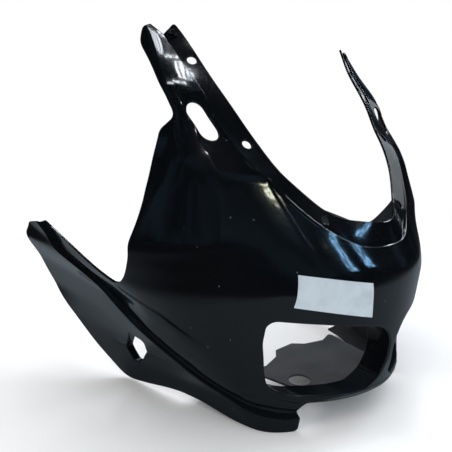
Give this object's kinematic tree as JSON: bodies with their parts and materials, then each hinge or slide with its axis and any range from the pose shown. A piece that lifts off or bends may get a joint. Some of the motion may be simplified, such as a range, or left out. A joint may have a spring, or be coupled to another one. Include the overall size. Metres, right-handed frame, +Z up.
{
  "type": "motorcycle fairing",
  "caption": "One-piece motorcycle upper fairing with twin headlight openings, an inner floor behind them, screen flange, splayed side panels, mirror slots and long tail wings.",
  "frame": {"origin": "middle of the bounding box in plan, at the height of the lowest edge", "axes": "+X forward to the nose, +Y to the rider's left, +Z up"},
  "size_m": [0.4886, 0.4834, 0.4332],
  "materials": {
    "shell_paint": "gloss black paint",
    "nut_metal": "dull dark plated steel"
  },
  "bodies": {
    "root": {"upper_fairing": "shell_paint", "screen_clip_nut_left": "nut_metal", "screen_clip_nut_right": "nut_metal"}
  },
  "joints": []
}
